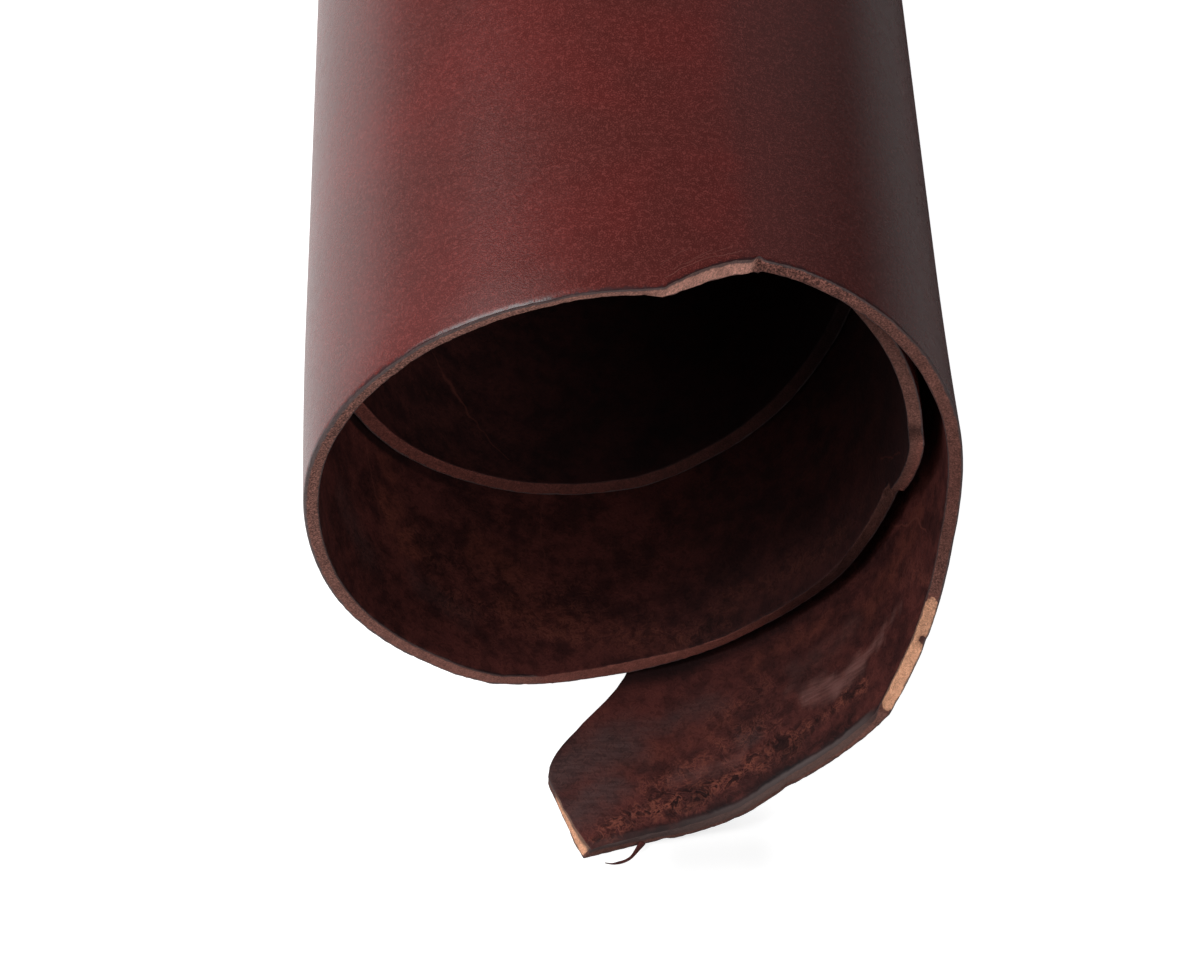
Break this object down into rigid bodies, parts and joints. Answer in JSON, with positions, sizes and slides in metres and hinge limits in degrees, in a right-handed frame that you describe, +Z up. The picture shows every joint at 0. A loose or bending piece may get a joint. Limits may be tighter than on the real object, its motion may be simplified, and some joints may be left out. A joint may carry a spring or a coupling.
{
  "type": "rolled leather side",
  "caption": "Side of thick red-brown vegetable-tanned leather, rolled grain side out into an open tube that lies on its loose tail.",
  "frame": {"origin": "centre of the bounding box in X and Y, on the surface that the roll lies on", "axes": "+Z up; +Y along the roll, from the near end with the loose tail and the cut-about edge to the straight far end; +X to the right seen from the near end"},
  "size_m": [0.1662, 0.9696, 0.1656],
  "materials": {
    "leather": "satin waxed grain outside, brown fibrous flesh side inside, rough brown cut edges"
  },
  "bodies": {
    "root": {"leather_side": "leather"}
  },
  "joints": []
}
